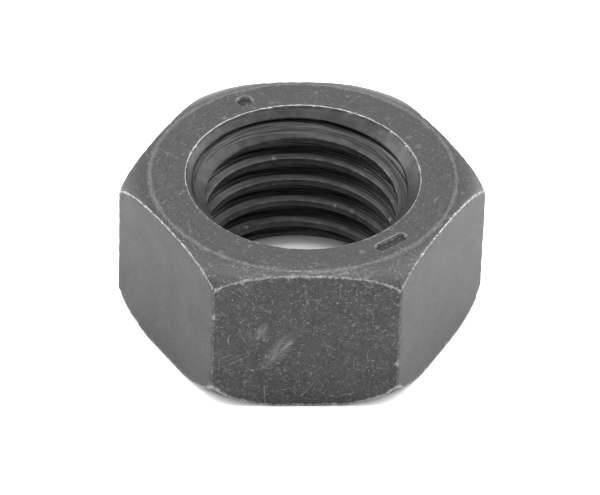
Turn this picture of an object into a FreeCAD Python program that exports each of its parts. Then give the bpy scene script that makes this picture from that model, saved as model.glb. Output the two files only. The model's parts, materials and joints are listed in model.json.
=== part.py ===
"""Plain hexagon nut, M24 x 3, in blackened forged steel: one solid piece.

Frame: millimetres, +Z up along the thread axis, origin at the centre of the bottom bearing face.
Two of the six flats face -Y and +Y, so two corners lie on the X axis.
"""
import FreeCAD, Part

import math
import os

import Sketcher

NODE = "hex_nut"

# Driving dimensions, in millimetres and degrees: alias, value, what it is.
DRIVING = (
    ("across_flats", 35.4, "width from flat to flat"),
    ("nut_height", 18.5, "bottom bearing face to top face"),
    ("corner_radius", 0.55, "rounding along the six upright corners"),
    ("top_chamfer_inset", 0.7, "chamfer circle inside the flats, on the top face"),
    ("top_chamfer_angle", 35.8, "top chamfer from circle to corner, measured from the face"),
    ("bottom_chamfer_outset", 0.15, "chamfer circle outside the flats, on the bottom face"),
    ("bottom_chamfer_angle", 54.2, "bottom chamfer from circle to corner, measured from the face"),
    ("chamfer_crown", 5.5, "radius of the bulge that forging leaves across both chamfers"),
    ("thread_diameter", 24.0, "nominal diameter of the screw"),
    ("thread_pitch", 3.0, "rise of the thread in one turn"),
    ("thread_allowance", 0.5, "how much wider than nominal the thread is cut, on diameter"),
    ("thread_phase", 1.17, "height of the groove's middle where it crosses the +X axis"),
    ("countersink_angle", 50.0, "countersink wall, measured from the face"),
    ("top_countersink_margin", 0.8, "top countersink mouth beyond the thread's root, on radius"),
    ("bottom_countersink_margin", 0.6, "bottom countersink mouth beyond the thread's root, on radius"),
    ("mark_depth", 0.3, "depth of the two clock-face marks"),
    ("dot_diameter", 1.9, "round mark"),
    ("dash_length", 4.2, "long mark, end to end"),
    ("dash_width", 1.3, "long mark, side to side"),
    ("dot_bearing", 114.0, "place of the round mark about the axis, from +X"),
    ("dash_bearing", -52.0, "place of the long mark about the axis, from +X"),
    ("cut_clearance", 0.3, "how far a cutting shape runs past the metal it removes"),
    ("groove_overrun", 0.2, "how far the thread tool starts inside the crest"),
)

# Sizes worked out from the driving ones, as sheet formulas: alias, formula.
DERIVED = (
    ("flat_radius", "across_flats / 2"),
    ("corner_reach", "across_flats / (2 * cos(30deg)) + cut_clearance"),
    ("top_chamfer_radius", "flat_radius - top_chamfer_inset"),
    ("top_chamfer_drop", "(corner_reach - top_chamfer_radius) * tan(top_chamfer_angle * 1deg)"),
    ("top_chamfer_base", "nut_height - top_chamfer_drop"),
    ("bottom_chamfer_radius", "flat_radius + bottom_chamfer_outset"),
    ("bottom_chamfer_rise",
     "(corner_reach - bottom_chamfer_radius) * tan(bottom_chamfer_angle * 1deg)"),
    ("root_radius", "(thread_diameter + thread_allowance) / 2"),
    ("crest_radius", "root_radius - 0.625 * cos(30deg) * thread_pitch"),
    ("top_mouth_radius", "root_radius + top_countersink_margin"),
    ("bottom_mouth_radius", "root_radius + bottom_countersink_margin"),
    ("top_countersink_drop", "top_mouth_radius * tan(countersink_angle * 1deg)"),
    ("top_countersink_tip", "nut_height - top_countersink_drop"),
    ("bottom_countersink_rise", "bottom_mouth_radius * tan(countersink_angle * 1deg)"),
    ("groove_inner_radius", "crest_radius - groove_overrun"),
    ("groove_root_half", "thread_pitch / 16"),
    ("groove_mouth_half", "groove_root_half + (root_radius - groove_inner_radius) * tan(30deg)"),
    ("groove_start", "thread_phase - 2 * thread_pitch"),
    ("groove_rise", "nut_height + 3 * thread_pitch"),
    ("mark_ring_radius", "(top_chamfer_radius + top_mouth_radius) / 2"),
)


def fill_sheet(doc):
    """Write the driving and derived sizes, one row each, and give each cell its name."""
    sheet = doc.addObject("Spreadsheet::Sheet", "sizes")
    row = 1
    for alias, value, meaning in DRIVING:
        sheet.set(f"A{row}", meaning)
        sheet.set(f"B{row}", str(value))
        sheet.setAlias(f"B{row}", alias)
        row += 1
    doc.recompute()
    for alias, formula in DERIVED:
        sheet.set(f"B{row}", "=" + formula)
        sheet.setAlias(f"B{row}", alias)
        doc.recompute()
        row += 1
    return sheet


def plane(body, role):
    """One of the body's own origin planes."""
    return next(item for item in body.Origin.OriginFeatures if item.Role == role)


def sketch_on(body, name, role, lift=None):
    """A sketch on an origin plane, lifted along it or off it by a sheet value where one is given."""
    sketch = body.newObject("Sketcher::SketchObject", name)
    sketch.AttachmentSupport = [(plane(body, role), "")]
    sketch.MapMode = "FlatFace"
    if lift:
        axis, alias = lift
        sketch.setExpression(f"AttachmentOffset.Base.{axis}", f"<<sizes>>.{alias}")
    return sketch


def size_of(sheet, alias):
    """A sheet value as a plain number."""
    value = sheet.get(alias)
    return float(getattr(value, "Value", value))


def bind(sketch, constraint, formula):
    """Add a dimension to a sketch and tie it to sheet values."""
    index = sketch.addConstraint(constraint)
    sketch.setExpression(f"Constraints[{index}]", formula)


def triangle(sketch, sheet, corners, crown=None):
    """A triangle with corners (x, y), each a sheet name, or None for zero.

    Where a crown radius is named, the side opposite the middle corner is an arc that bulges towards it.
    """
    def number(alias):
        return size_of(sheet, alias) if alias else 0.0

    first, middle, last = (FreeCAD.Vector(number(x), number(y), 0) for x, y in corners)
    closing = Part.LineSegment(last, first)
    if crown:
        halfway = (first + last) / 2
        radius = number(crown)
        bulge = radius - math.sqrt(radius ** 2 - (first - halfway).Length ** 2)
        side = last - first
        square_to_side = FreeCAD.Vector(side.y, -side.x, 0).normalize()
        if square_to_side.dot(middle - first) < 0:
            square_to_side = -square_to_side
        closing = Part.Arc(last, halfway + square_to_side * bulge, first)
    sketch.addGeometry(Part.LineSegment(first, middle), False)
    sketch.addGeometry(Part.LineSegment(middle, last), False)
    sketch.addGeometry(closing, False)
    # an arc runs anticlockwise whichever way it was drawn, so its ends may be the other way round
    swapped = crown and (sketch.getPoint(2, 1) - last).Length > (sketch.getPoint(2, 2) - last).Length
    closing_start, closing_end = (2, 1) if swapped else (1, 2)
    sketch.addConstraint(Sketcher.Constraint("Coincident", 0, 2, 1, 1))
    sketch.addConstraint(Sketcher.Constraint("Coincident", 1, 2, 2, closing_start))
    sketch.addConstraint(Sketcher.Constraint("Coincident", 2, closing_end, 0, 1))
    for (line, end), (x, y) in zip(((0, 1), (1, 1), (1, 2)), corners):
        for kind, alias in (("DistanceX", x), ("DistanceY", y)):
            if alias:
                dimension = Sketcher.Constraint(kind, -1, 1, line, end, number(alias))
                bind(sketch, dimension, f"<<sizes>>.{alias}")
            else:
                onto_axis = -2 if kind == "DistanceX" else -1
                sketch.addConstraint(Sketcher.Constraint("PointOnObject", line, end, onto_axis))
    if crown:
        bind(sketch, Sketcher.Constraint("Radius", 2, number(crown)), f"<<sizes>>.{crown}")


def hexagon(body):
    """The blank: a hexagonal bar as long as the nut is high, its upright corners rounded."""
    sketch = sketch_on(body, "hexagon", "XY_Plane")
    reach = size_of(body.Document.sizes, "flat_radius") / math.cos(math.radians(30))
    corners = [FreeCAD.Vector(reach * math.cos(math.radians(60 * corner)),
                              reach * math.sin(math.radians(60 * corner)), 0)
               for corner in range(6)]
    for start, end in zip(corners, corners[1:] + corners[:1]):
        sketch.addGeometry(Part.LineSegment(start, end), False)
    circle = sketch.addGeometry(Part.Circle(FreeCAD.Vector(), FreeCAD.Vector(0, 0, 1), reach), True)
    sketch.addConstraint(Sketcher.Constraint("Coincident", circle, 3, -1, 1))
    for side in range(6):
        sketch.addConstraint(Sketcher.Constraint("Coincident", side, 2, (side + 1) % 6, 1))
        sketch.addConstraint(Sketcher.Constraint("PointOnObject", side, 1, circle))
    for side in range(1, 6):
        sketch.addConstraint(Sketcher.Constraint("Equal", 0, side))
    sketch.addConstraint(Sketcher.Constraint("Horizontal", 1))
    flat_radius = size_of(body.Document.sizes, "flat_radius")
    bind(sketch, Sketcher.Constraint("DistanceY", -1, 1, 1, 1, flat_radius), "<<sizes>>.flat_radius")

    blank = body.newObject("PartDesign::Pad", "blank")
    blank.Profile = sketch
    blank.setExpression("Length", "<<sizes>>.nut_height")
    body.Document.recompute()

    upright = [f"Edge{index}" for index, edge in enumerate(blank.Shape.Edges, 1)
               if abs(edge.tangentAt(edge.FirstParameter).z) > 0.999]
    rounding = body.newObject("PartDesign::Fillet", "corner_rounding")
    rounding.Base = (blank, upright)
    rounding.setExpression("Radius", "<<sizes>>.corner_radius")
    body.Document.recompute()


def settle_cut(body, cut, before):
    """Finish a cutting feature, keeping its wall in separate patches, and see that it cut metal."""
    cut.Refine = False
    body.Document.recompute()
    if not body.Shape.Volume < before:
        raise RuntimeError(f"{cut.Name} removed nothing")


def turned_cut(body, name, corners, lift=None, crown=None):
    """A cut turned about the thread axis, its section a triangle of (radius, height) corners."""
    sketch = sketch_on(body, name + "_section", "XZ_Plane", lift)
    triangle(sketch, body.Document.sizes, corners, crown)
    before = body.Shape.Volume
    cut = body.newObject("PartDesign::Groove", name)
    cut.Profile = sketch
    cut.ReferenceAxis = (sketch, ["V_Axis"])
    cut.Angle = 360
    settle_cut(body, cut, before)


def bore(body):
    """The hole that leaves the thread's crests, its wall in quarters."""
    sketch = sketch_on(body, "bore_circle", "XY_Plane")
    radius = size_of(body.Document.sizes, "crest_radius")
    circle = Part.Circle(FreeCAD.Vector(), FreeCAD.Vector(0, 0, 1), radius)
    for quarter in range(4):
        arc = Part.ArcOfCircle(circle, quarter * math.pi / 2, (quarter + 1) * math.pi / 2)
        sketch.addGeometry(arc, False)
    for quarter in range(4):
        axis = -1 if quarter % 2 == 0 else -2
        sketch.addConstraint(Sketcher.Constraint("Coincident", quarter, 3, -1, 1))
        sketch.addConstraint(Sketcher.Constraint("PointOnObject", quarter, 1, axis))
    for quarter in range(3):
        sketch.addConstraint(Sketcher.Constraint("Coincident", quarter, 2, quarter + 1, 1))
    sketch.addConstraint(Sketcher.Constraint("PointOnObject", 3, 2, -1))
    bind(sketch, Sketcher.Constraint("Radius", 0, radius), "<<sizes>>.crest_radius")

    before = body.Shape.Volume
    cut = body.newObject("PartDesign::Pocket", "bore")
    cut.Profile = sketch
    cut.Type = "ThroughAll"
    cut.Reversed = True
    settle_cut(body, cut, before)


def thread(body):
    """The right-hand thread groove, swept along its helix right through the nut."""
    sketch = sketch_on(body, "groove_section", "XZ_Plane", ("y", "groove_start"))
    sheet = body.Document.sizes
    inner = size_of(sheet, "groove_inner_radius")
    root = size_of(sheet, "root_radius")
    mouth_half = size_of(sheet, "groove_mouth_half")
    root_half = size_of(sheet, "groove_root_half")
    corners = [FreeCAD.Vector(inner, -mouth_half, 0), FreeCAD.Vector(root, -root_half, 0),
               FreeCAD.Vector(root, root_half, 0), FreeCAD.Vector(inner, mouth_half, 0)]
    for start, end in zip(corners, corners[1:] + corners[:1]):
        sketch.addGeometry(Part.LineSegment(start, end), False)
    for line in range(4):
        sketch.addConstraint(Sketcher.Constraint("Coincident", line, 2, (line + 1) % 4, 1))
    sketch.addConstraint(Sketcher.Constraint("Symmetric", 0, 1, 3, 1, -1))
    sketch.addConstraint(Sketcher.Constraint("Symmetric", 1, 1, 2, 1, -1))
    for kind, first, second, value, alias in (
            ("DistanceX", (-1, 1), (0, 1), inner, "groove_inner_radius"),
            ("DistanceX", (-1, 1), (1, 1), root, "root_radius"),
            ("DistanceY", (-1, 1), (3, 1), mouth_half, "groove_mouth_half"),
            ("DistanceY", (-1, 1), (2, 1), root_half, "groove_root_half")):
        bind(sketch, Sketcher.Constraint(kind, *first, *second, value), f"<<sizes>>.{alias}")

    before = body.Shape.Volume
    cut = body.newObject("PartDesign::SubtractiveHelix", "thread")
    cut.Profile = sketch
    cut.ReferenceAxis = (sketch, ["V_Axis"])
    cut.Mode = "pitch-height-angle"
    cut.setExpression("Pitch", "<<sizes>>.thread_pitch")
    cut.setExpression("Height", "<<sizes>>.groove_rise")
    cut.Angle = 0
    cut.LeftHanded = False
    cut.Reversed = False
    settle_cut(body, cut, before)


def mark(body, name, bearing, add_outline):
    """A shallow mark sunk in the top face, midway across its ring, at a bearing about the axis."""
    sketch = sketch_on(body, name + "_outline", "XY_Plane", ("z", "nut_height"))
    sketch.setExpression("AttachmentOffset.Rotation.Angle", f"<<sizes>>.{bearing} * 1deg")
    add_outline(sketch, body.Document.sizes)
    before = body.Shape.Volume
    cut = body.newObject("PartDesign::Pocket", name)
    cut.Profile = sketch
    cut.setExpression("Length", "<<sizes>>.mark_depth")
    settle_cut(body, cut, before)


def dot_outline(sketch, sheet):
    """A circle centred on the mark ring."""
    ring = size_of(sheet, "mark_ring_radius")
    radius = size_of(sheet, "dot_diameter") / 2
    circle = Part.Circle(FreeCAD.Vector(ring, 0, 0), FreeCAD.Vector(0, 0, 1), radius)
    sketch.addGeometry(circle, False)
    sketch.addConstraint(Sketcher.Constraint("PointOnObject", 0, 3, -1))
    bind(sketch, Sketcher.Constraint("DistanceX", -1, 1, 0, 3, ring), "<<sizes>>.mark_ring_radius")
    bind(sketch, Sketcher.Constraint("Radius", 0, radius), "<<sizes>>.dot_diameter / 2")


def dash_outline(sketch, sheet):
    """A round-ended slot lying across the radius, centred on the mark ring."""
    ring = size_of(sheet, "mark_ring_radius")
    radius = size_of(sheet, "dash_width") / 2
    reach = size_of(sheet, "dash_length") / 2 - radius
    up = FreeCAD.Vector(0, 0, 1)
    upper = Part.Circle(FreeCAD.Vector(ring, reach, 0), up, radius)
    lower = Part.Circle(FreeCAD.Vector(ring, -reach, 0), up, radius)
    sketch.addGeometry(Part.ArcOfCircle(upper, 0, math.pi), False)
    sketch.addGeometry(Part.LineSegment(FreeCAD.Vector(ring - radius, reach, 0),
                                        FreeCAD.Vector(ring - radius, -reach, 0)), False)
    sketch.addGeometry(Part.ArcOfCircle(lower, math.pi, 2 * math.pi), False)
    sketch.addGeometry(Part.LineSegment(FreeCAD.Vector(ring + radius, -reach, 0),
                                        FreeCAD.Vector(ring + radius, reach, 0)), False)
    for edge in range(4):
        sketch.addConstraint(Sketcher.Constraint("Tangent", edge, 2, (edge + 1) % 4, 1))
    sketch.addConstraint(Sketcher.Constraint("Vertical", 1))
    sketch.addConstraint(Sketcher.Constraint("Symmetric", 0, 3, 2, 3, -1))
    bind(sketch, Sketcher.Constraint("DistanceX", -1, 1, 0, 3, ring), "<<sizes>>.mark_ring_radius")
    bind(sketch, Sketcher.Constraint("Radius", 0, radius), "<<sizes>>.dash_width / 2")
    bind(sketch, Sketcher.Constraint("DistanceY", -1, 1, 0, 3, reach),
         "(<<sizes>>.dash_length - <<sizes>>.dash_width) / 2")


def hex_nut(doc):
    """The whole nut: hexagonal blank, chamfers, bore, countersinks, thread and marks."""
    body = doc.addObject("PartDesign::Body", NODE)
    body.Label = NODE
    body.Placement = FreeCAD.Placement()
    hexagon(body)
    turned_cut(body, "top_chamfer",
               (("corner_reach", None), ("corner_reach", "top_chamfer_drop"),
                ("top_chamfer_radius", "top_chamfer_drop")),
               lift=("y", "top_chamfer_base"), crown="chamfer_crown")
    turned_cut(body, "bottom_chamfer",
               (("bottom_chamfer_radius", None), ("corner_reach", None),
                ("corner_reach", "bottom_chamfer_rise")),
               crown="chamfer_crown")
    bore(body)
    turned_cut(body, "top_countersink",
               ((None, None), ("top_mouth_radius", "top_countersink_drop"),
                (None, "top_countersink_drop")),
               lift=("y", "top_countersink_tip"))
    turned_cut(body, "bottom_countersink",
               ((None, None), ("bottom_mouth_radius", None), (None, "bottom_countersink_rise")))
    thread(body)
    mark(body, "dot_mark", "dot_bearing", dot_outline)
    mark(body, "dash_mark", "dash_bearing", dash_outline)
    return body


def check(doc, body):
    """Stop if any object failed or the nut isn't one valid solid."""
    for item in doc.Objects:
        if "Invalid" in item.State or "Error" in item.State:
            raise RuntimeError(f"{item.Name}: {item.getStatusString()}")
    shape = body.Shape
    if shape.isNull() or not shape.isValid() or len(shape.Solids) != 1:
        raise RuntimeError(f"{body.Label} is not one valid solid")


doc = FreeCAD.newDocument("hex_nut")
fill_sheet(doc)
nut = hex_nut(doc)
doc.recompute()
check(doc, nut)
os.makedirs("parts", exist_ok=True)
nut.Shape.exportStep(f"parts/{nut.Label}.step")
print(f"{nut.Label}: {nut.Shape.Volume:.1f} mm3, {len(nut.Shape.Faces)} faces")
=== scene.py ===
"""Plain M24 hexagon nut in blackened forged steel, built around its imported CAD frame.

Everything is in metres in the CAD frame: +Z along the thread axis, the nut standing on Z = 0.
The nut is one piece of metal, so it is one closed mesh. Its outside is a grid of rings, each ring one
walk round the hexagon, and its bore is a grid of helical rows that climb one pitch in a turn.
"""
import json
import math
import random

import bmesh
import bpy
import numpy as np
from mathutils import Matrix, Vector, noise


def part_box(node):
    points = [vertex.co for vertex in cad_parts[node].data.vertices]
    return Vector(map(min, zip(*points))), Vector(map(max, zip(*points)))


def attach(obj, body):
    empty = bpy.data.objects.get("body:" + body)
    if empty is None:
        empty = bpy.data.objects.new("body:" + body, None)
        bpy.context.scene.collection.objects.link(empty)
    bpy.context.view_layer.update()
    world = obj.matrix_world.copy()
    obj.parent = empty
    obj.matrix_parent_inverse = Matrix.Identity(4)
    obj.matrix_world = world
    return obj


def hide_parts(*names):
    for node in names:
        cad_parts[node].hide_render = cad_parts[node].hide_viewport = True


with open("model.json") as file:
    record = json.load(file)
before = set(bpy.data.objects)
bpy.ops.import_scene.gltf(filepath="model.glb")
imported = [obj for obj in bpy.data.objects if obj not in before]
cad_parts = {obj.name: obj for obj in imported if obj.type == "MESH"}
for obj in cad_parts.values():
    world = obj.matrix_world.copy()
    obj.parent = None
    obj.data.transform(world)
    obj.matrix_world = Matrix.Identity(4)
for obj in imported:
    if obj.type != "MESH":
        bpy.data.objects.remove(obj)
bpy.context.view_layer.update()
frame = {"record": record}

bl_info = {
    "name": "Hex nut",
    "version": (1, 0, 0),
    "blender": (4, 5, 0),
    "location": "View3D > Sidebar > Hex nut",
    "description": "A hexagon nut with a true thread, and a plain stage to show it on",
    "category": "Add Mesh",
}

MM = 0.001
NODE = "hex_nut"
BODY = "root"
LOW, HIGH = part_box(NODE)
MOUNTS = {mount["name"]: mount for mount in frame["record"]["mounts"]}

# the parts of the nut's surface, in the order of their materials
PARTS = ("flats", "faces", "bore")
# half the angle between the two flanks of the thread's groove
FLANK = math.radians(30)

# how many rows of points each surface has between its bends
TOP_ROWS = 14
CHAMFER_ROWS = 11
FLAT_ROWS = 38
BOTTOM_ROWS = 10
FLANK_ROWS = 6
# how far the bend between two surfaces of the outside reaches along each of them
MOUTH_BEND = 0.13 * MM
SHOULDER_BEND = 0.2 * MM
HIP_BEND = 0.12 * MM
FOOT_BEND = 0.1 * MM
# how soft the bends of the bore's wall are: at a crest, at a root and where a countersink starts
CREST_BEND = 0.1 * MM
ROOT_BEND = 0.16 * MM
SINK_BEND = 0.08 * MM
# a helical row this close to a mouth ends on it
MOUTH_CLEARANCE = 0.02 * MM
# a point this close to the height of the top face is on it
LEVEL_SLACK = 0.001 * MM
# the top face is cut finer this close to a mark
FINE_REACH = 0.3 * MM

# knocks: how many of each kind, or for each corner, and the range of their radii and depths in millimetres
KNOCKS = {
    "chamfer edge": (46, (0.2, 0.45), (0.02, 0.06)),
    "bottom corner": (4, (0.3, 0.6), (0.05, 0.12)),
    "top corner": (2, (0.3, 0.5), (0.05, 0.12)),
    "upright corner": (1, (0.3, 0.5), (0.04, 0.1)),
    "bottom edge": (30, (0.25, 0.5), (0.02, 0.06)),
    "crest": (26, (0.25, 0.5), (0.05, 0.14)),
    "mouth": (24, (0.2, 0.4), (0.03, 0.07)),
    "top face": (14, (0.3, 0.6), (0.02, 0.05)),
}
# the most that the forging's waves, and the finer ones on them, move the surface, in millimetres
FORGED_WAVE = 0.02
FINE_WAVE = 0.006
# wear along the outer edges and the thread's crests: its depth in millimetres, and its reach
EDGE_LOSS = 0.05
EDGE_REACH = 0.5 * MM
CREST_LOSS = 0.07
CREST_REACH = 0.25 * MM
# the burr round the mouth: its mean height and how much that varies, in millimetres, and its reach
BURR_HEIGHT = 0.02
BURR_VARIES = 0.035
BURR_REACH = 0.16 * MM
# a mark's wall slopes down between these distances from its outline; below 0 is inside
WALL_TOP = 0.06 * MM
WALL_FOOT = -0.16 * MM
# the lip of metal that a stamp pushes up round a mark: its height in millimetres, and its reach
LIP_HEIGHT = 0.03
LIP_REACH = 0.22 * MM
# these turn a gap measured straight up into about the gap square to a chamfer; the bottom one is less
# because that chamfer slopes more, and the bottom edges are worn over a wider line than the rest; that
# wider bright line is partly a painted highlight, for the light that the bottom edge catches from above
TOP_GAP_SHARE = 0.85
BOTTOM_GAP_SHARE = 0.45
# how much of the other edges' wear the upright ones show
UPRIGHT_WEAR = 0.4

# the sockets of a colour mix: the colour under, the colour over, and the result
MIX_UNDER = 6
MIX_OVER = 7
MIX_RESULT = 2
# how fast the thread's streaks change on the way round, per metre
STREAK_DRIFT = 40

# the floor lies this far below the nut, so that the two surfaces don't meet
FLOOR_DROP = 0.02 * MM
FLOOR_HALF_WIDTH = 1.5
TENT_STRENGTH = 1.72
# each lamp's name, place and width in metres, and power in watts
LAMPS = (
    ("top", (0.0, 0.0, 0.8), 0.5, 4.0),
    ("back", (0.0, 0.6, 0.5), 0.5, 0.7),
    ("right", (0.5, 0.1, 0.45), 0.35, 2.6),
    ("left", (-0.5, 0.1, 0.45), 0.35, 2.4),
    ("low right", (0.7, 0.35, 0.18), 0.35, 3.4),
    ("low left", (-0.7, 0.35, 0.18), 0.35, 2.9),
)
SENSOR_WIDTH_MM = 36


def linear(code):
    """An sRGB hex colour such as "#5a5b5c" as linear red, green and blue."""
    levels = (int(code[place:place + 2], 16) / 255 for place in (1, 3, 5))
    return tuple(v / 12.92 if v <= 0.04045 else ((v + 0.055) / 1.055) ** 2.4 for v in levels)


# settings that the nut's lengths share, and that the colours share
LENGTH = {"unit": "LENGTH", "precision": 5}
COLOUR = {"subtype": "COLOR", "min": 0, "max": 1}


class NutSizes(bpy.types.PropertyGroup):
    """Sizes of the nut, in metres and radians."""

    across_flats: bpy.props.FloatProperty(
        name="Across flats", description="Width from flat to flat",
        default=HIGH.y - LOW.y, **LENGTH)
    height: bpy.props.FloatProperty(
        name="Height", description="Bottom bearing face to top face",
        default=HIGH.z - LOW.z, **LENGTH)
    pitch: bpy.props.FloatProperty(
        name="Pitch", description="Rise of the thread in one turn",
        default=3.0 * MM, **LENGTH)
    crest_radius: bpy.props.FloatProperty(
        name="Crest radius", description="Thread crests, from the axis",
        default=MOUNTS["thread"]["dims"]["r_mm"] * MM, **LENGTH)
    thread_phase: bpy.props.FloatProperty(
        name="Thread phase", description="Height of the groove's middle on the +X side",
        default=1.17 * MM, **LENGTH)
    top_chamfer_inset: bpy.props.FloatProperty(
        name="Top chamfer inset", description="Chamfer circle inside the flats, on the top face",
        default=0.7 * MM, **LENGTH)
    top_chamfer_start: bpy.props.FloatProperty(
        name="Top chamfer start", description="Slope of the top chamfer from the face, at its circle",
        default=math.radians(11), subtype="ANGLE")
    bottom_chamfer_outset: bpy.props.FloatProperty(
        name="Bottom chamfer outset", description="Chamfer circle outside the flats, on the bottom face",
        default=0.15 * MM, **LENGTH)
    bottom_chamfer_start: bpy.props.FloatProperty(
        name="Bottom chamfer start", description="Slope of the bottom chamfer from the face, at its circle",
        default=math.radians(27.5), subtype="ANGLE")
    chamfer_crown: bpy.props.FloatProperty(
        name="Chamfer crown", description="Radius of the bulge that forging leaves across both chamfers",
        default=5.5 * MM, **LENGTH)
    edge_break: bpy.props.FloatProperty(
        name="Edge break", description="Width worn off a flat's bottom edge, between the chamfered corners",
        default=0.13 * MM, **LENGTH)
    corner_radius: bpy.props.FloatProperty(
        name="Corner radius", description="Rounding along the six upright corners",
        default=0.55 * MM, **LENGTH)
    top_mouth_margin: bpy.props.FloatProperty(
        name="Top mouth margin", description="Top countersink mouth beyond the thread's root",
        default=0.8 * MM, **LENGTH)
    bottom_mouth_margin: bpy.props.FloatProperty(
        name="Bottom mouth margin", description="Bottom countersink mouth beyond the thread's root",
        default=0.6 * MM, **LENGTH)
    countersink_angle: bpy.props.FloatProperty(
        name="Countersink", description="Slope of the countersink wall from the face",
        default=math.radians(50), subtype="ANGLE")


class NutMarks(bpy.types.PropertyGroup):
    """The two plain marks sunk into the top face, in metres, and their bearings in degrees."""

    depth: bpy.props.FloatProperty(
        name="Depth", description="How deep the marks are sunk", default=0.3 * MM, **LENGTH)
    dot_bearing: bpy.props.FloatProperty(
        name="Dot bearing", description="Anticlockwise from +X, in degrees", default=114)
    dot_diameter: bpy.props.FloatProperty(
        name="Dot", description="Diameter of the round mark", default=1.9 * MM, **LENGTH)
    dash_bearing: bpy.props.FloatProperty(
        name="Dash bearing", description="Anticlockwise from +X, in degrees", default=-52)
    dash_length: bpy.props.FloatProperty(
        name="Dash length", description="Length of the long mark", default=4.2 * MM, **LENGTH)
    dash_width: bpy.props.FloatProperty(
        name="Dash width", description="Width of the long mark", default=1.3 * MM, **LENGTH)


class NutFinish(bpy.types.PropertyGroup):
    """Colours of the finish."""

    oxide: bpy.props.FloatVectorProperty(
        name="Oxide", description="The black oxide where it is whole",
        default=linear("#353536"), **COLOUR)
    # a dark tone: painted shade down in the thread, a painted shadow just under the burr and painted shade
    # on the flats that face along Y; in the sunk marks it is the darker oxide left there
    dark_oxide_and_shade: bpy.props.FloatVectorProperty(
        name="Dark oxide and shade", description="The oxide down in the thread, dark with oil",
        default=linear("#1c1c1d"), **COLOUR)
    oxide_pale: bpy.props.FloatVectorProperty(
        name="Pale oxide", description="The oxide where handling has scuffed it",
        default=linear("#4c4c4d"), **COLOUR)
    scuffed: bpy.props.FloatVectorProperty(
        name="Scuffed oxide", description="The oxide rubbed thin, with steel half showing",
        default=linear("#727170"), **COLOUR)
    bare: bpy.props.FloatVectorProperty(
        name="Bare steel", description="Steel where the oxide is rubbed or knocked off",
        default=linear("#a9a7a4"), **COLOUR)
    rust: bpy.props.FloatVectorProperty(
        name="Rust", description="The few specks where bare steel has rusted",
        default=linear("#8a6a3c"), **COLOUR)


class StageSettings(bpy.types.PropertyGroup):
    """The floor's colour and the camera."""

    floor_colour: bpy.props.FloatVectorProperty(
        name="Floor", description="Plain pale floor", default=linear("#f4f4f3"), **COLOUR)
    camera_distance: bpy.props.FloatProperty(
        name="Camera distance", description="From the centre of the nut's bottom face",
        default=639 * MM, unit="LENGTH", precision=4)
    camera_elevation: bpy.props.FloatProperty(
        name="Camera elevation", description="Above the horizon", default=math.radians(38.9),
        subtype="ANGLE")
    camera_turn: bpy.props.FloatProperty(
        name="Camera turn", description="About the thread axis, from straight in front of a flat",
        default=math.radians(-2.81), subtype="ANGLE")
    camera_roll: bpy.props.FloatProperty(
        name="Camera roll", description="Tilt of the camera about its own line of sight",
        default=math.radians(1.73), subtype="ANGLE")
    camera_rise: bpy.props.FloatProperty(
        name="Camera rise", default=6.56 * MM, unit="LENGTH", precision=4,
        description="How far above the nut's bottom centre the camera aims, square to its line of sight")
    camera_side: bpy.props.FloatProperty(
        name="Camera side", description="How far to the right of the thread axis the camera aims",
        default=-0.1 * MM, unit="LENGTH", precision=4)
    lens: bpy.props.FloatProperty(
        name="Lens", description="Focal length on a 36 mm sensor, in millimetres", default=340.2)


# ---- The shape ----

class Shape:
    """Sizes worked out from the nut's own, in metres."""

    def __init__(self, sizes):
        self.flat = sizes.across_flats / 2
        self.top = sizes.height
        self.pitch = sizes.pitch
        self.crest = sizes.crest_radius
        # a metric thread is cut to five eighths of the height of its full triangle
        self.root = self.crest + 0.625 * math.cos(FLANK) * self.pitch
        self.phase = sizes.thread_phase
        self.corner_radius = sizes.corner_radius
        self.top_ring = self.flat - sizes.top_chamfer_inset
        self.top_start = sizes.top_chamfer_start
        self.bottom_ring = self.flat + sizes.bottom_chamfer_outset
        self.bottom_start = sizes.bottom_chamfer_start
        self.crown = sizes.chamfer_crown
        self.edge_break = sizes.edge_break
        self.top_mouth = self.root + sizes.top_mouth_margin
        self.bottom_mouth = self.root + sizes.bottom_mouth_margin
        self.sink_slope = math.tan(sizes.countersink_angle)
        self.mark_ring = (self.top_ring + self.top_mouth) / 2
        # half the groove's width at its root and at the crests
        self.root_edge = self.pitch / 16
        self.crest_edge = self.root_edge + (self.root - self.crest) * math.tan(FLANK)


def walk_angles():
    """Bearings of the grid's columns: every degree, and closer together round the six corners."""
    near_corner = (-0.75, -0.5, -0.36, -0.22, -0.1, 0.1, 0.22, 0.36, 0.5, 0.75)
    degrees = {float(degree) for degree in range(360)}
    degrees |= {(60 * corner + offset) % 360 for corner in range(6) for offset in near_corner}
    return np.radians(sorted(degrees))


def side_radius(shape, bearing):
    """Distance from the axis to the hexagon's side at each bearing, with its corners rounded."""
    from_corner = (bearing + math.pi / 6) % (math.pi / 3) - math.pi / 6
    plain = shape.flat / np.cos(np.abs(from_corner) - math.pi / 6)
    corner = shape.flat / math.cos(math.pi / 6)
    centre = corner - shape.corner_radius / math.cos(math.pi / 6)
    reach = shape.corner_radius ** 2 - (centre * np.sin(from_corner)) ** 2
    rounded = centre * np.cos(from_corner) + np.sqrt(np.maximum(reach, 0))
    tangent = math.atan2(shape.corner_radius / 2, centre + shape.corner_radius * math.cos(math.pi / 6))
    return np.where(np.abs(from_corner) < tangent, rounded, plain)


def bend(before, corner, after, reach, steps):
    """Rows round a bend, from a reach before its corner to a reach after it.

    A point is a complex number: its radius, and its height as the imaginary part.
    """
    def part_way(end):
        length = np.maximum(np.abs(end - corner), 1e-9)
        return corner + (end - corner) * np.minimum(0.5, reach / length)

    share = np.linspace(0, 1, steps)[:, None]
    start = (1 - share) ** 2 * part_way(before)
    return start + 2 * share * (1 - share) * corner + share ** 2 * part_way(after)


def run(start, end, steps):
    """Rows evenly between two rows, without the two themselves."""
    share = np.linspace(0, 1, steps + 2)[1:-1, None]
    return start + (end - start) * share


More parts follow.
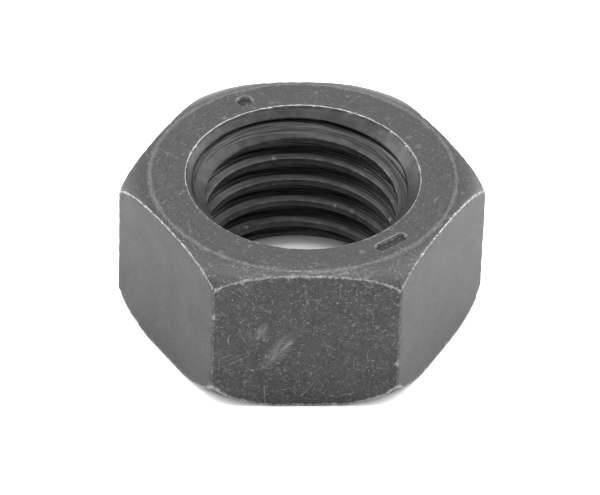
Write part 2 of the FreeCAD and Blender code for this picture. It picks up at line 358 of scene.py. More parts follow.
def crowned_drop(shape, start, past):
    """How far a crowned chamfer has fallen from its face, this far past the circle where it starts."""
    reach = shape.crown * math.sin(start) + np.maximum(past, 0)
    return shape.crown * math.cos(start) - np.sqrt(shape.crown ** 2 - reach ** 2)


def top_edge(shape, radius):
    """Height of the top chamfer at a radius."""
    return shape.top - crowned_drop(shape, shape.top_start, radius - shape.top_ring)


def bottom_edge(shape, side):
    """The bottom chamfer's start, as a radius, and its end, as a height, below each side radius."""
    start = np.minimum(side - shape.edge_break, shape.bottom_ring)
    meet = np.maximum(crowned_drop(shape, shape.bottom_start, side - shape.bottom_ring), shape.edge_break)
    return start, meet


def outside_rows(shape, bearing):
    """The rings from the top countersink's mouth, over the outside, to the bottom one's mouth.

    Returns the points, one row a ring, as complex numbers, and the part of the nut that each strip between
    two rings is on.
    """
    side = side_radius(shape, bearing)
    whole = np.ones_like(bearing)
    under_start, meet = bottom_edge(shape, side)
    sink = MM * (1 + 1j * shape.sink_slope)
    down_top_sink = (shape.top_mouth + 1j * shape.top - sink) * whole
    top_mouth = (shape.top_mouth + 1j * shape.top) * whole
    top_ring = (shape.top_ring + 1j * shape.top) * whole
    shoulder = side + 1j * top_edge(shape, side)
    hip = side + 1j * meet
    foot = under_start + 0j
    bottom_mouth = (shape.bottom_mouth + 0j) * whole
    up_bottom_sink = (shape.bottom_mouth - sink.conjugate()) * whole

    def over_chamfer(share):
        radius = shape.top_ring + (side - shape.top_ring) * share
        return radius + 1j * top_edge(shape, radius)

    def under_chamfer(share):
        radius = foot.real + (side - foot.real) * share
        fall = crowned_drop(shape, shape.bottom_start, radius - foot.real)
        return radius + 1j * meet * fall / crowned_drop(shape, shape.bottom_start, side - foot.real)

    last_of_chamfer = 1 - np.minimum(0.5, SHOULDER_BEND / (side - shape.top_ring))
    last_of_under = 1 - np.minimum(0.5, HIP_BEND / (side - foot.real))
    mouth_bend = bend(down_top_sink, top_mouth, top_ring, MOUTH_BEND, 5)
    shoulder_bend = bend(over_chamfer(last_of_chamfer), shoulder, hip, SHOULDER_BEND, 5)
    hip_bend = bend(shoulder, hip, under_chamfer(last_of_under), HIP_BEND, 4)
    foot_bend = bend(under_chamfer(0.1), foot, bottom_mouth, FOOT_BEND, 3)
    last_bend = bend(foot, bottom_mouth, up_bottom_sink, FOOT_BEND, 4)
    # each group of rows, and the part of the strips from the group before it to its own last row
    groups = (
        (mouth_bend[:3], "bore"),
        (mouth_bend[3:], "faces"),
        (run(mouth_bend[-1], top_ring, TOP_ROWS), "faces"),
        ([over_chamfer(share * last_of_chamfer) for share in np.linspace(0, 0.96, CHAMFER_ROWS)], "faces"),
        (shoulder_bend[:3], "faces"),
        (shoulder_bend[3:], "flats"),
        (run(shoulder_bend[-1], hip_bend[0], FLAT_ROWS), "flats"),
        (hip_bend, "flats"),
        ([under_chamfer(last_of_under * share) for share in (0.94, 0.75, 0.5, 0.25)], "flats"),
        (foot_bend, "flats"),
        (run(foot_bend[-1], last_bend[0], BOTTOM_ROWS), "faces"),
        (last_bend[:3], "faces"),
        (last_bend[3:], "bore"),
    )
    rows = []
    strips = []
    for group, part in groups:
        strips += [part] * len(group)
        rows += list(group)
    return np.array(rows), strips[1:]


def groove_offsets(shape):
    """Heights above a groove's middle at which the helical rows of one pitch lie, close at its bends."""
    root = shape.root_edge
    mouth = shape.crest_edge
    flank = np.linspace(root + 0.06 * MM, mouth - 0.07 * MM, FLANK_ROWS)
    half = [root - 0.1 * MM, *flank, mouth, mouth + 0.07 * MM, mouth + 0.2 * MM]
    return np.array([-shape.pitch / 2, *(-offset for offset in reversed(half)), *half])


def flank_radius(shape, offset):
    """Distance from the axis to a groove's flank, carried on past its root and its crest."""
    return shape.root - (offset - shape.root_edge) / math.tan(FLANK)


def bore_radius(shape, offset, height):
    """Distance from the axis to the bore's wall, by the height above a groove's middle and above Z = 0."""
    def larger(first, second, soft):
        """The larger of two distances, with a soft bend where they are nearly equal."""
        closeness = np.maximum(soft - np.abs(first - second), 0) / soft
        return np.maximum(first, second) + closeness ** 2 * soft / 4

    flank = flank_radius(shape, np.abs(offset))
    thread = larger(np.minimum(flank, shape.root), shape.crest, CREST_BEND)
    thread = -larger(-thread, -shape.root, ROOT_BEND)
    top_sink = shape.top_mouth - (shape.top - height) / shape.sink_slope
    bottom_sink = shape.bottom_mouth - height / shape.sink_slope
    return larger(larger(thread, top_sink, SINK_BEND), bottom_sink, SINK_BEND)


def nut_grid(shape):
    """The whole closed surface: places (n, 3), faces, and the part of the nut that each face is on."""
    bearing = walk_angles()
    columns = len(bearing)
    rows, strip_parts = outside_rows(shape, bearing)
    radius = rows.real
    height = rows.imag
    places = np.stack([radius * np.cos(bearing), radius * np.sin(bearing), height], axis=-1).reshape(-1, 3)
    ring = np.arange(len(rows) * columns).reshape(len(rows), columns)
    following = np.roll(ring, -1, axis=1)
    quads = np.stack([ring[:-1], ring[1:], following[1:], following[:-1]], axis=-1).reshape(-1, 4)
    part_of = list(np.repeat(strip_parts, columns))

    # the bore's helical rows: row r at the end of a turn is the row one pitch on at its start
    offsets = groove_offsets(shape)
    per_pitch = len(offsets)
    row = np.arange(-2 * per_pitch, (int(shape.top / shape.pitch) + 3) * per_pitch)
    offset = np.broadcast_to(offsets[row % per_pitch][:, None], (len(row), columns))
    climb = shape.phase + shape.pitch * bearing / (2 * math.pi)
    level = (row // per_pitch * shape.pitch)[:, None] + climb + offset
    wall = bore_radius(shape, offset, level)
    over = level >= height[0, 0] - MOUTH_CLEARANCE
    under = level <= height[-1, 0] + MOUTH_CLEARANCE
    ids = np.where(over, ring[0], np.where(under, ring[-1], -1))
    own = ids < 0
    ids[own] = len(places) + np.arange(own.sum())
    bore = np.stack([wall * np.cos(bearing), wall * np.sin(bearing), level], axis=-1)[own]
    places = np.concatenate([places, bore])

    next_turn = ids[per_pitch:, :1]
    ids = ids[:-per_pitch]
    ahead = np.concatenate([ids[:, 1:], next_turn], axis=1)
    square = np.stack([ids[:-1], ahead[:-1], ahead[1:], ids[1:]], axis=-1).reshape(-1, 4)
    left_shut = square[:, 0] == square[:, 3]
    right_shut = square[:, 1] == square[:, 2]
    left_triangles = square[left_shut & ~right_shut][:, (0, 1, 2)]
    right_triangles = square[right_shut & ~left_shut][:, (0, 1, 3)]
    bore_faces = (square[~left_shut & ~right_shut].tolist() + left_triangles.tolist()
                  + right_triangles.tolist())
    return places, quads.tolist() + bore_faces, part_of + ["bore"] * len(bore_faces)


# ---- Marks, knocks and waviness ----

def smooth(low, high, value):
    """0 at low, 1 at high, which may be the lesser of the two, and an even S between them."""
    share = np.clip((value - low) / (high - low), 0, 1)
    return share * share * (3 - 2 * share)


def on_ring(radius, degrees, height):
    """A place at a radius and a bearing."""
    angle = math.radians(degrees)
    return np.array([radius * math.cos(angle), radius * math.sin(angle), height])


def mark_gap(shape, places, marks):
    """Distance outside the nearer of the two sunk marks' outlines on the top face; below 0 is inside."""
    dot = np.hypot(*(places - on_ring(shape.mark_ring, marks.dot_bearing, shape.top)).T[:2])
    away = places - on_ring(shape.mark_ring, marks.dash_bearing, shape.top)
    angle = math.radians(marks.dash_bearing)
    across = away[:, 0] * math.cos(angle) + away[:, 1] * math.sin(angle)
    along = away[:, 1] * math.cos(angle) - away[:, 0] * math.sin(angle)
    half_run = (marks.dash_length - marks.dash_width) / 2
    dash = np.hypot(across, np.maximum(np.abs(along) - half_run, 0))
    return np.minimum(dot - marks.dot_diameter / 2, dash - marks.dash_width / 2)


def refine_near_marks(mesh, shape, marks):
    """Cuts the top face's quads close to the marks into sixteenths, to give the marks clean outlines."""
    middles = np.array([edge.verts[0].co + edge.verts[1].co for edge in mesh.edges]) / 2
    near = mark_gap(shape, middles, marks) < FINE_REACH
    flat = middles[:, 2] > shape.top - LEVEL_SLACK
    chosen = [edge for edge, wanted in zip(mesh.edges, near & flat) if wanted]
    bmesh.ops.subdivide_edges(mesh, edges=chosen, cuts=3, use_grid_fill=True)


def knocks(shape, seed):
    """Nicks and dents, mostly along the outer edges: a list of (place, radius, depth)."""
    pick = random.Random(seed)
    found = []

    def anywhere():
        return pick.uniform(0, 360)

    def on_edge(degrees, kind):
        side = float(side_radius(shape, np.array([math.radians(degrees)]))[0])
        level = top_edge(shape, side) if kind == "chamfer" else bottom_edge(shape, side)[1]
        return on_ring(side, degrees, float(level))

    def on_crest():
        degrees = anywhere()
        turn = pick.randint(1, 4)
        level = shape.phase + shape.pitch * (turn + degrees / 360) + pick.choice((-1, 1)) * shape.crest_edge
        return on_ring(shape.crest, degrees, level)

    def strike(kind, place):
        """Adds the knocks of one kind, each at a newly drawn place."""
        count, radii, depths = KNOCKS[kind]
        for _ in range(count):
            found.append((place(), pick.uniform(*radii) * MM, pick.uniform(*depths) * MM))

    strike("chamfer edge", lambda: on_edge(anywhere(), "chamfer"))
    for degrees in range(0, 360, 60):
        strike("bottom corner", lambda: on_edge(degrees + pick.gauss(0, 1.5), "bottom"))
        strike("top corner", lambda: on_edge(degrees + pick.gauss(0, 0.6), "chamfer"))
        corner = side_radius(shape, np.array([math.radians(degrees)]))[0]
        strike("upright corner", lambda: on_ring(corner, degrees, pick.uniform(0.2, 0.7) * shape.top))
    strike("bottom edge", lambda: on_edge(anywhere(), "bottom"))
    strike("crest", on_crest)
    strike("mouth", lambda: on_ring(shape.top_mouth, anywhere(), shape.top))
    span = (shape.top_mouth, shape.top_ring)
    strike("top face", lambda: on_ring(pick.uniform(*span), anywhere(), shape.top))
    return found


def waviness(places, size, seed):
    """Smooth noise at each place, about 0, with lumps of the given size. Each seed shifts it elsewhere."""
    shift = Vector((seed, seed * 1.7, seed * 2.3))
    return np.array([noise.noise(Vector(place) / size + shift) for place in places])


def groove_gap(shape, places):
    """Distance along the axis from each place to the middle of the nearest groove."""
    climb = shape.phase + shape.pitch * np.arctan2(places[:, 1], places[:, 0]) / (2 * math.pi)
    half = shape.pitch / 2
    return np.abs((places[:, 2] - climb + half) % shape.pitch - half)


def outer_edge_gap(shape, places):
    """Distance from each place on the outside to the nearest sharp edge, and whether that edge is upright.

    Each surface of the outside has a gap to the place. The surface that it lies on has the least, and the
    next least is close to the distance to the edge between the two.
    """
    x, y, z = places.T
    radius = np.hypot(x, y)
    turns = np.radians(np.arange(6) * 60 + 30)
    flats = [shape.flat - (x * math.cos(turn) + y * math.sin(turn)) for turn in turns]
    over = (top_edge(shape, radius) - z) * TOP_GAP_SHARE
    hip = np.maximum(crowned_drop(shape, shape.bottom_start, radius - shape.bottom_ring), shape.edge_break)
    under = np.abs(z - hip) * BOTTOM_GAP_SHARE
    gaps = np.array([*flats, over, under])
    nearest = np.argsort(gaps, axis=0)[:2]
    return np.maximum(np.sort(gaps, axis=0)[1], 0), nearest.max(axis=0) < len(flats)


def in_groove_depth(shape, groove, radius):
    """How deep in the thread's groove a place is, below the crests; nothing up on the countersinks."""
    on_thread = radius < np.clip(flank_radius(shape, groove), shape.crest, shape.root) + 0.12 * MM
    return np.where(on_thread, np.maximum(radius - shape.crest, 0), 0)


def mouth_gap(shape, places):
    """Distance out over the top face from the countersink's mouth, or, below 0, down into the bore."""
    radius = np.hypot(places[:, 0], places[:, 1])
    away = np.hypot(radius - shape.top_mouth, places[:, 2] - shape.top)
    return np.where(radius > shape.top_mouth, away, -away)


def worn_lift(shape, marks, places, edge, mouth, groove):
    """How far forging, wear, the burr, marks and knocks move each place out, and how knocked it is."""
    lift = waviness(places, 7 * MM, 3) * FORGED_WAVE * MM + waviness(places, 1.6 * MM, 11) * FINE_WAVE * MM
    near_edge = np.where(mouth < 0, 0, smooth(EDGE_REACH, 0, edge))
    lift -= near_edge * np.maximum(waviness(places, 0.9 * MM, 23) + 0.1, 0) * EDGE_LOSS * MM
    near_rim = smooth(BURR_REACH, 0, np.abs(mouth))
    lift += near_rim * (BURR_HEIGHT + BURR_VARIES * waviness(places, 0.8 * MM, 31)) * MM
    near_crest = smooth(CREST_REACH, 0, np.abs(groove - shape.crest_edge)) * (mouth < 0)
    near_crest *= smooth(shape.crest + 0.5 * MM, shape.crest, np.hypot(places[:, 0], places[:, 1]))
    lift -= near_crest * np.maximum(waviness(places, 1.1 * MM, 41), 0) * CREST_LOSS * MM

    on_top = places[:, 2] > shape.top - LEVEL_SLACK
    gap = mark_gap(shape, places, marks)
    lift += np.where(on_top, np.exp(-(gap / LIP_REACH) ** 2) * LIP_HEIGHT * MM, 0)
    lift -= smooth(WALL_TOP, WALL_FOOT, gap) * on_top * marks.depth

    knocked = np.zeros(len(places))
    for place, size, depth in knocks(shape, 5):
        share = np.linalg.norm(places - place, axis=1) / size
        dent = np.maximum(1 - share ** 2, 0) ** 2
        lift -= dent * depth
        knocked = np.maximum(knocked, dent)
    return lift, knocked


def read(mesh, what):
    """One vector of every vertex, such as its place, as rows."""
    values = np.empty(len(mesh.vertices) * 3)
    mesh.vertices.foreach_get(what, values)
    return values.reshape(-1, 3)


def make_nut(shape, marks):
    """The nut's mesh, with the distances that its materials read stored on it in millimetres."""
    places, faces, part_of = nut_grid(shape)
    mesh = bpy.data.meshes.new("nut_steel")
    mesh.from_pydata(places.tolist(), [], faces)
    mesh.polygons.foreach_set("material_index", [PARTS.index(part) for part in part_of])

    work = bmesh.new()
    work.from_mesh(mesh)
    refine_near_marks(work, shape, marks)
    bmesh.ops.recalc_face_normals(work, faces=work.faces)
    work.to_mesh(mesh)
    work.free()
    mesh.polygons.foreach_set("use_smooth", [True] * len(mesh.polygons))

    places = read(mesh, "co")
    radius = np.hypot(places[:, 0], places[:, 1])
    edge, upright = outer_edge_gap(shape, places)
    mouth = mouth_gap(shape, places)
    groove = groove_gap(shape, places)
    on_top = places[:, 2] > shape.top - LEVEL_SLACK
    lift, knocked = worn_lift(shape, marks, places, edge, mouth, groove)
    for name, values in {
        "edge_gap": edge / MM,
        "edge_wear": np.where(upright, UPRIGHT_WEAR, 1),
        "ring_gap": (radius - shape.top_ring) / MM,
        "mouth_gap": mouth / MM,
        "crest_gap": np.hypot(groove - shape.crest_edge, radius - shape.crest) / MM,
        "depth": in_groove_depth(shape, groove, radius) / MM,
        "mark_gap": np.where(on_top, mark_gap(shape, places, marks), 1) / MM,
        "knocked": knocked,
    }.items():
        mesh.attributes.new(name, "FLOAT", "POINT").data.foreach_set("value", values)
    places += read(mesh, "normal") * lift[:, None]
    mesh.vertices.foreach_set("co", places.ravel())
    mesh.update()
    return mesh


# ---- Materials ----

def per(size):
    """The scale of a pattern whose features are this many millimetres, in coordinates of metres."""
    return 1 / (size * MM)


class Finish:
    """One black-oxide surface as it is built up: its node tree, and the masks that it is made of.

    A mask is a value from 0 to 1 at each place. Sizes are in millimetres.
    """

    def __init__(self, name, tones):
        self.tones = tones
        self.material = bpy.data.materials.new(name)
        self.material.use_nodes = True
        self.tree = self.material.node_tree
        self.tree.nodes.clear()
        self.place = self.node("TexCoord", out="Object")

    def node(self, kind, sockets=None, out=0, **settings):
        """Adds a node with its settings, links or sets its inputs, and returns one of its outputs."""
        made = self.tree.nodes.new("ShaderNode" + kind)
        for name, value in settings.items():
            setattr(made, name, value)
        for place, value in (sockets or {}).items():
            if isinstance(value, bpy.types.NodeSocket):
                self.tree.links.new(value, made.inputs[place])
            else:
                made.inputs[place].default_value = value
        return made.outputs[out] if made.outputs else None

    def patches(self, size, low, high, detail=2.0, roughness=0.5, least=0.0):
        """Patches where noise rises from low to high, with a least value between them."""
        grain = self.node("TexNoise", {"Vector": self.place, "Scale": per(size), "Detail": detail,
                                       "Roughness": roughness}, out="Fac")
        return self.node("MapRange", {"Value": grain, "From Min": low, "From Max": high, "To Min": least},
                         interpolation_type="SMOOTHSTEP")

    def cells(self, apart, share):
        """Scattered spots: the nearest one's random colour, its place, and 1 at the share of them kept."""
        colour = self.node("TexVoronoi", {"Vector": self.place, "Scale": per(apart)}, out="Color")
        # the fraction left when one channel is multiplied up has little to do with the colour itself
        lot = self.node("Math", {0: self.node("SeparateXYZ", {0: colour}), 1: 37.0}, operation="MULTIPLY")
        lot = self.node("Math", {0: lot}, operation="FRACT")
        kept = self.node("Math", {0: lot, 1: share}, operation="LESS_THAN")
        return colour, colour.node.outputs["Position"], kept

    def scratches(self, apart, length, width, bow, share):
        """Scattered scratches in all directions, each bowed to a radius.

        Each is where the surface cuts a sphere that passes through a spot, in a random direction from it.
        """
        colour, spot, kept = self.cells(apart, share)
        aside = self.node("VectorMath", {0: colour, 1: (0.5, 0.5, 0.5)}, operation="SUBTRACT")
        aside = self.node("VectorMath", {0: aside}, operation="NORMALIZE")
        aside = self.node("VectorMath", {0: aside, "Scale": bow * MM}, operation="SCALE")
        to_spot = self.node("VectorMath", {0: self.place, 1: spot}, operation="SUBTRACT")
        to_centre = self.node("VectorMath", {0: to_spot, 1: aside}, operation="SUBTRACT")
        reach = self.node("VectorMath", {0: to_centre}, out="Value", operation="LENGTH")
        along = self.node("VectorMath", {0: to_spot}, out="Value", operation="LENGTH")
        on_line = self.node("MapRange", {"Value": self.away(reach, bow * MM), "From Min": width / 2 * MM,
                                         "From Max": 0.0})
        within = self.node("MapRange", {"Value": along, "From Min": length / 2 * MM,
                                        "From Max": length / 4 * MM})
        return self.all_of(on_line, within, kept)

    def rub_lines(self, size, width):
        """Thin curling lines, as parts knocking together leave, where noise is within a width of 0.5."""
        grain = self.node("TexNoise", {"Vector": self.place, "Scale": per(size), "Detail": 2.0}, out="Fac")
        return self.node("MapRange", {"Value": self.away(grain, 0.5), "From Min": width, "From Max": 0.0})

    def flecks(self, apart, radius, share):
        """Specks at scattered spots."""
        _, spot, kept = self.cells(apart, share)
        gap = self.node("VectorMath", {0: self.place, 1: spot}, out="Value", operation="DISTANCE")
        near = self.node("MapRange", {"Value": gap, "From Min": radius * MM, "From Max": radius / 3 * MM})
        return self.all_of(near, kept)

    def rubbed(self, middle, lean, length, width):
        """One streaky patch rubbed into a flat, that leans to +X by degrees."""
        inside = self.node("Mapping", {
            "Vector": self.place, "Location": tuple(part * MM for part in middle),
            "Rotation": (0, math.radians(lean), 0),
            "Scale": (width / 2 * MM, width / 2 * MM, length / 2 * MM)}, vector_type="TEXTURE")
        gap = self.node("VectorMath", {0: inside}, out="Value", operation="LENGTH")
        drawn_out = self.node("Mapping", {"Vector": inside, "Scale": (7, 7, 1)})
        streaks = self.node("TexNoise", {"Vector": drawn_out, "Scale": 1.0, "Detail": 3.0}, out="Fac")
        return self.all_of(self.node("MapRange", {"Value": gap, "From Min": 1.0, "From Max": 0.3}),
                           self.node("MapRange", {"Value": streaks, "From Min": 0.35, "From Max": 0.65}))

    def near(self, name, reach, ragged, at=0.0):
        """The line where a distance stored on the mesh has a value, within a ragged reach."""
        gap = self.away(self.node("Attribute", out="Fac", attribute_name=name), at)
        return self.node("MapRange", {"Value": gap, "From Min": self.all_of(ragged, reach),
                                      "From Max": 0.0})

    def worn_edges(self, ragged):
        """The broken line along the sharp edges, fainter on the upright ones."""
        wear = self.node("Attribute", out="Fac", attribute_name="edge_wear")
        return self.all_of(self.near("edge_gap", 0.24, ragged), wear,
                           self.patches(0.3, 0.35, 0.65, detail=3.0, least=0.45))

    def knocked(self):
        """Where knocks have broken the oxide."""
        return self.all_of(self.node("Attribute", out="Fac", attribute_name="knocked"),
                           self.patches(0.22, 0.35, 0.6))

    def away(self, value, at):
        """How far a value is from another."""
        return self.node("Math", {0: self.node("Math", {0: value, 1: at}, operation="SUBTRACT")},
                         operation="ABSOLUTE")

    def all_of(self, *masks):
        """Masks or numbers multiplied together."""
        result = masks[0]
        for mask in masks[1:]:
            result = self.node("Math", {0: result, 1: mask}, operation="MULTIPLY")
        return result

    def any_of(self, *masks):
        """The greatest of the masks."""
        result = masks[0]
        for mask in masks[1:]:
            result = self.node("Math", {0: result, 1: mask}, operation="MAXIMUM")
        return result

    def painted(self, layers):
        """The oxide's colour with others over it in turn: (tone, its share where its mask is 1, mask)."""
        colour = (*self.tones.oxide, 1)
        for tone, share, mask in layers:
            colour = self.node("Mix", {"Factor": self.all_of(mask, share), MIX_UNDER: colour,
                                       MIX_OVER: (*getattr(self.tones, tone), 1)},
                               out=MIX_RESULT, data_type="RGBA")
        return colour

    def surface(self, colour, roughness, height, depth):
        """The metal itself, with its fine relief."""
        relief = self.node("Bump", {"Height": height, "Distance": depth * MM, "Strength": 1.0})
        metal = self.node("BsdfPrincipled", {"Base Color": colour, "Metallic": 1.0, "Roughness": roughness,
                                             "Normal": relief})
        self.node("OutputMaterial", {"Surface": metal})
        return self.material


def worn_flats(tones):
    """Hot-forged hexagon flats, tumbled and black-oxided.

    To the eye: a dark, dull grey with a fine grit, thin scratches, curling rub lines and pin-prick flecks
    from parts knocking together in a barrel, and a broken bright line wherever two faces meet.
    """
    work = Finish("BlackOxideForgedFlats", tones)
    y = work.node("SeparateXYZ", {0: work.place}, out="Y")
    # the two flats that face along Y have been in a spanner and are more marked than the rest; they are
    # also painted darker than the rest, which is painted shade
    shaded_and_marked_flats = work.node("MapRange", {"Value": work.away(y, 0), "From Min": 16.6 * MM, "From Max": 17.4 * MM,
                                     "To Min": 0.3})
    speckle = work.patches(0.22, 0.35, 0.75, detail=3.0, roughness=0.7)
    cloud = work.patches(3.0, 0.3, 0.75, detail=4.0)
    curls = work.all_of(work.any_of(work.rub_lines(1.3, 0.02), work.rub_lines(0.7, 0.035)),
                        work.patches(0.5, 0.52, 0.66), work.patches(2.8, 0.4, 0.6, least=0.3))
    scratches = work.any_of(*(work.scratches(*sizes) for sizes in (
        (3.3, 4.5, 0.11, 25.0, 0.4), (1.7, 2.0, 0.1, 5.0, 0.5), (0.9, 0.9, 0.1, 1.2, 0.5),
        (0.6, 0.5, 0.12, 0.6, 0.4))))
    marks = work.all_of(work.any_of(work.all_of(curls, 0.8), scratches), shaded_and_marked_flats,
                        work.patches(0.35, 0.35, 0.65, detail=3.0, least=0.2))
    rubbed = work.any_of(work.rubbed((-2.9, -17.7, 8.0), 32, 6.4, 2.5),
                         work.rubbed((-4.9, -17.7, 10.7), 25, 3.0, 1.5))
    flecks = work.any_of(work.flecks(0.5, 0.08, 0.35), work.flecks(2.2, 0.12, 0.4))
    edges = work.worn_edges(work.patches(0.4, 0.3, 0.7, detail=3.0, least=0.3))
    colour = work.painted((
        ("oxide_pale", 0.4, cloud),
        # painted shade: the flats that face along Y darker, and the rest a little darker
        ("dark_oxide_and_shade", 0.3, shaded_and_marked_flats),
        ("oxide_pale", 0.6, speckle),
        ("scuffed", 0.45, rubbed),
        ("scuffed", 0.8, marks),
        ("bare", 0.5, work.all_of(flecks, shaded_and_marked_flats)),
        # bare steel worn along the edges; along the bottom edges the wider line is partly a painted
        # highlight
        ("bare", 0.65, edges),
        ("bare", 0.6, work.knocked()),
        ("rust", 0.8, work.flecks(4.5, 0.16, 0.2)),
    ))
    relief = work.node("Math", {0: speckle, 1: marks}, operation="SUBTRACT")
    rough = work.node("MapRange", {"Value": work.any_of(edges, rubbed), "To Min": 0.46, "To Max": 0.38})
    return work.surface(colour, rough, relief, 0.004)


def turned_faces(tones):
    """Faces and chamfers turned on a lathe, then black-oxided.

    To the eye: a finer, more even grey than the flats, with a soft scuffed band where the chamfer starts,
    which is what the nut rubs on when it is tipped over, and a bright burr round the bore.
    """
    work = Finish("BlackOxideTurnedFaces", tones)
    x, y = (work.node("SeparateXYZ", {0: work.place}, out=axis) for axis in "XY")
    radius = work.node("VectorMath", {0: work.node("CombineXYZ", {0: x, 1: y})}, out="Value",
                       operation="LENGTH")
    # streaks 0.2 mm wide and ten times as long, that run round the axis as a turning tool does
    round_axis = work.node("CombineXYZ", {0: work.all_of(x, per(2.0)), 1: work.all_of(y, per(2.0)),
                                          2: work.all_of(radius, per(0.2))})
    turned = work.node("TexNoise", {"Vector": round_axis, "Scale": 1.0, "Detail": 4.0, "Roughness": 0.7},
                       out="Fac")
    streaks = work.node("MapRange", {"Value": turned, "From Min": 0.35, "From Max": 0.7})
    speckle = work.patches(0.2, 0.35, 0.75, detail=3.0, roughness=0.7)
    ragged = work.patches(0.4, 0.3, 0.7, detail=3.0, least=0.3)
    edges = work.worn_edges(ragged)
    band = work.all_of(work.near("ring_gap", 0.5, work.patches(1.6, 0.25, 0.7, least=0.35)),
                       work.patches(0.35, 0.35, 0.65, detail=4.0, roughness=0.7, least=0.25))
    # the middle of the side that faces -Y has been dragged along something hard
    outwards = work.node("MapRange", {"Value": y, "From Min": -15.0 * MM, "From Max": -16.5 * MM})
    midway = work.node("MapRange", {"Value": work.away(x, 0), "From Min": 9.0 * MM, "From Max": 5.0 * MM})
    dragged = work.all_of(outwards, midway,
                          work.node("MapRange", {"Value": turned, "From Min": 0.5, "From Max": 0.6}),
                          work.patches(0.35, 0.45, 0.62, detail=4.0, roughness=0.7))
    outline = work.node("Attribute", out="Fac", attribute_name="mark_gap")
    in_mark = work.node("MapRange", {"Value": outline, "From Min": 0.0, "From Max": -0.15})
    rim = work.near("mouth_gap", 0.14, work.patches(0.7, 0.35, 0.7, detail=3.0, least=0.3))
    flecks = work.any_of(work.flecks(0.45, 0.08, 0.3), work.flecks(2.0, 0.12, 0.35))
    scratches = work.any_of(*(work.scratches(*sizes) for sizes in (
        (3.9, 4.0, 0.1, 25.0, 0.35), (1.7, 1.5, 0.1, 4.0, 0.4), (0.8, 0.6, 0.12, 1.0, 0.4))))
    colour = work.painted((
        ("oxide_pale", 0.4, streaks),
        ("oxide_pale", 0.85, speckle),
        ("dark_oxide_and_shade", 0.6, in_mark),
        ("scuffed", 0.5, work.near("mark_gap", 0.25, ragged)),
        ("scuffed", 0.65, band),
        ("scuffed", 0.6, dragged),
        ("scuffed", 0.5, scratches),
        ("bare", 0.5, flecks),
        ("bare", 0.65, edges),
        ("bare", 0.75, rim),
        ("bare", 0.2, work.knocked()),
    ))
    relief = work.node("Math", {0: speckle, 1: scratches}, operation="SUBTRACT")
    rough = work.node("MapRange", {"Value": work.any_of(edges, rim, band), "To Min": 0.46, "To Max": 0.4})
    return work.surface(colour, rough, relief, 0.004)


def cut_thread(tones, shape):
    """The tapped thread and its countersinks, black-oxided and left oily.

    To the eye: nearly black in the grooves, which is painted shade that darkens with depth down the groove,
    with fine streaks that follow the tap's path round the flanks and a thin bright line where bolts have
    rubbed the crests' edges.
    """
    work = Finish("BlackOxideTappedThread", tones)
    x, y, z = (work.node("SeparateXYZ", {0: work.place}, out=axis) for axis in "XYZ")
    # how far round the thread's profile a place is: a whole turn of this angle is one pitch
    climb = work.all_of(z, 2 * math.pi / shape.pitch)
    bearing = work.node("Math", {0: y, 1: x}, operation="ARCTAN2")
    profile = work.node("Math", {0: climb, 1: bearing}, operation="SUBTRACT")
    around = work.node("CombineXYZ", {0: work.node("Math", {0: profile}, operation="COSINE"),
                                      1: work.node("Math", {0: profile}, operation="SINE"),
                                      2: work.all_of(x, STREAK_DRIFT)})
    # about 20 streaks to a pitch; a real tap's marks are finer and would not show
    streak = work.node("TexNoise", {"Vector": around, "W": work.all_of(y, STREAK_DRIFT), "Scale": 3.2,
                                    "Detail": 2.0, "Roughness": 0.7}, out="Fac", noise_dimensions="4D")
    streak = work.node("MapRange", {"Value": streak, "From Min": 0.42, "From Max": 0.6})
    depth = work.node("Attribute", out="Fac", attribute_name="depth")
    thread = work.node("MapRange", {"Value": depth, "From Min": 0.05, "From Max": 0.7})
    # the countersinks were cut smooth, so the streaks are faint there
    streak = work.all_of(streak, work.node("MapRange", {"Value": thread, "From Max": 0.3, "To Min": 0.3}))
    crest = work.all_of(work.near("crest_gap", 0.12, work.patches(0.8, 0.3, 0.7, detail=3.0, least=0.4)),
                        work.patches(2.5, 0.35, 0.65, least=0.3))
    rim = work.near("mouth_gap", 0.12, work.patches(0.55, 0.3, 0.7, detail=3.0, least=0.3))
    colour = work.painted((
        ("oxide_pale", 0.7, work.patches(1.5, 0.3, 0.8, detail=4.0)),
        # painted shade down the groove: the deeper a place is, the darker
        ("dark_oxide_and_shade", 0.9, thread),
        ("oxide_pale", 0.5, streak),
        # painted shadow of the burr: a dark line just inside the mouth
        ("dark_oxide_and_shade", 0.7, work.near("mouth_gap", 0.12, work.patches(1.4, 0.35, 0.6), at=-0.28)),
        ("bare", 0.35, crest),
        ("bare", 0.8, rim),
        ("bare", 0.6, work.knocked()),
    ))
    rough = work.node("MapRange", {"Value": thread, "To Min": 0.52, "To Max": 0.42})
    return work.surface(colour, rough, streak, 0.02)


# ---- Operators, panel and the order of work ----

class HEXNUT_OT_nut(bpy.types.Operator):
    """Makes the nut in place of its plain frame solid."""

    bl_idname = "hexnut.nut"
    bl_label = "Make the nut"

    def execute(self, context):
        scene = context.scene
        shape = Shape(scene.nut_sizes)
        mesh = make_nut(shape, scene.nut_marks)
        for material in (worn_flats(scene.nut_finish), turned_faces(scene.nut_finish),
                         cut_thread(scene.nut_finish, shape)):
            mesh.materials.append(material)
        nut = bpy.data.objects.new("nut_steel", mesh)
        scene.collection.objects.link(nut)
        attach(nut, BODY)
        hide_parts(NODE)
        return {"FINISHED"}


class HEXNUT_OT_stage(bpy.types.Operator):
    """Lays the floor, and sets the lights and the camera."""

    bl_idname = "hexnut.stage"
    bl_label = "Set the stage"

    def execute(self, context):
        scene = context.scene
        stage = scene.nut_stage
        lay_floor(scene, stage)
        light_stage(scene)
        aim_camera(scene, stage)
        return {"FINISHED"}


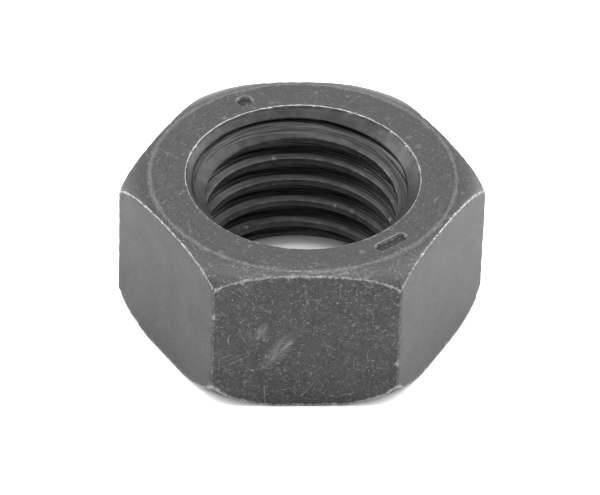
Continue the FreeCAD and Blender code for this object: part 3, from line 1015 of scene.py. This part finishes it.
def lay_floor(scene, stage):
    """A plain pale floor, far wider than the camera sees."""
    half = FLOOR_HALF_WIDTH
    mesh = bpy.data.meshes.new("floor")
    corners = [(-half, -half, 0), (half, -half, 0), (half, half, 0), (-half, half, 0)]
    mesh.from_pydata(corners, [], [(0, 1, 2, 3)])
    # uncoated card: pale, and too matt to mirror the nut, so only its soft shadow shows
    material = bpy.data.materials.new("MattWhiteCard")
    material.use_nodes = True
    card = material.node_tree.nodes["Principled BSDF"]
    card.inputs["Base Color"].default_value = (*stage.floor_colour, 1)
    card.inputs["Roughness"].default_value = 0.9
    mesh.materials.append(material)
    floor = bpy.data.objects.new("floor", mesh)
    floor.location.z = -FLOOR_DROP
    scene.collection.objects.link(floor)


def light_stage(scene):
    """A white tent of light, with large soft lamps above, behind and on both sides."""
    world = bpy.data.worlds.new("tent")
    world.use_nodes = True
    world.node_tree.nodes["Background"].inputs["Color"].default_value = (1, 1, 1, 1)
    world.node_tree.nodes["Background"].inputs["Strength"].default_value = TENT_STRENGTH
    scene.world = world
    scene.view_settings.view_transform = "Standard"
    for name, place, width, power in LAMPS:
        lamp = bpy.data.lights.new(name, "AREA")
        lamp.size = width
        lamp.energy = power
        holder = bpy.data.objects.new(name, lamp)
        holder.location = place
        holder.rotation_euler = (-Vector(place)).to_track_quat("-Z", "Y").to_euler()
        scene.collection.objects.link(holder)


def aim_camera(scene, stage):
    """A long lens that looks down at the nut from nearly in front of a flat."""
    turn = Matrix.Rotation(stage.camera_turn, 3, "Z")
    low = math.cos(stage.camera_elevation)
    high = math.sin(stage.camera_elevation)
    place = turn @ Vector((0, -low, high)) * stage.camera_distance
    target = turn @ (Vector((0, high, low)) * stage.camera_rise + Vector((stage.camera_side, 0, 0)))
    roll = Matrix.Rotation(stage.camera_roll, 4, "Z")
    data = bpy.data.cameras.new("camera")
    data.lens = stage.lens
    data.sensor_width = SENSOR_WIDTH_MM
    data.clip_start = 0.05
    camera = bpy.data.objects.new("camera", data)
    camera.matrix_world = (Matrix.Translation(place)
                           @ (target - place).to_track_quat("-Z", "Y").to_matrix().to_4x4() @ roll)
    scene.collection.objects.link(camera)
    scene.camera = camera


class HEXNUT_PT_panel(bpy.types.Panel):
    """Everything that a user would set, and the operators that use it."""

    bl_idname = "HEXNUT_PT_panel"
    bl_label = "Hex nut"
    bl_space_type = "VIEW_3D"
    bl_region_type = "UI"
    bl_category = "Hex nut"

    def draw(self, context):
        for name in GROUPS:
            group = getattr(context.scene, name)
            box = self.layout.box()
            for setting in group.bl_rna.properties.keys():
                if setting not in ("rna_type", "name"):
                    box.prop(group, setting)
        for operator in OPERATORS:
            self.layout.operator(operator.bl_idname)


GROUPS = {"nut_sizes": NutSizes, "nut_marks": NutMarks, "nut_finish": NutFinish, "nut_stage": StageSettings}
OPERATORS = (HEXNUT_OT_nut, HEXNUT_OT_stage)
CLASSES = (*GROUPS.values(), *OPERATORS, HEXNUT_PT_panel)


def register():
    """Adds the classes and hangs the settings on the scene."""
    for kind in CLASSES:
        bpy.utils.register_class(kind)
    for name, group in GROUPS.items():
        setattr(bpy.types.Scene, name, bpy.props.PointerProperty(type=group))


def unregister():
    """Takes the settings and the classes away again."""
    for name in GROUPS:
        delattr(bpy.types.Scene, name)
    for kind in reversed(CLASSES):
        bpy.utils.unregister_class(kind)


def main():
    """Makes the nut and its stage."""
    register()
    bpy.ops.hexnut.nut()
    bpy.ops.hexnut.stage()
    bpy.context.view_layer.update()


if __name__ == "__main__":
    main()
